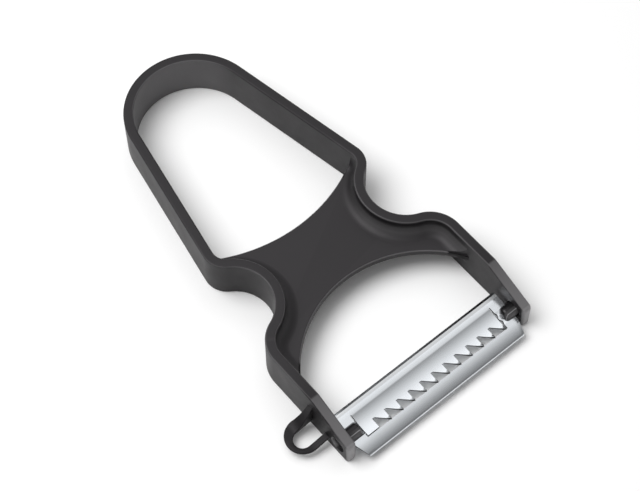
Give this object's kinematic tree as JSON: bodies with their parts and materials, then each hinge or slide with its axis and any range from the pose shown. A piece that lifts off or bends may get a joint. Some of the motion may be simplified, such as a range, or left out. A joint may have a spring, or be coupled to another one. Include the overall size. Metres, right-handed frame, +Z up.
{
  "type": "julienne peeler",
  "caption": "Peeler with a black moulded loop handle, a waisted web, a toothed stainless blade that swivels on pins between the arms, and a small gouge loop on one arm.",
  "frame": {"origin": "On the underside, in the middle of the wall at the far end of the handle", "axes": "+X along the blade's swivel axis, +Y from the blade to the handle's end, +Z up from the side it lies on"},
  "size_m": [0.0645, 0.112, 0.012],
  "materials": {
    "frame_plastic": "satin black, fine moulded grain",
    "stainless": "bright rolled stainless sheet with ground edges",
    "pin_plastic": "smooth black"
  },
  "bodies": {
    "frame_body": {"frame": "frame_plastic"},
    "blade_body": {"blade": "stainless", "pivot_pin_left": "pin_plastic", "pivot_pin_right": "pin_plastic"}
  },
  "joints": [
    {"name": "blade_swivel", "type": "hinge", "parent": "frame_body", "child": "blade_body", "pos_m": [0, -0.1044, 0.0039], "axis": [1, 0, 0], "range_deg": [-35, 18]}
  ]
}
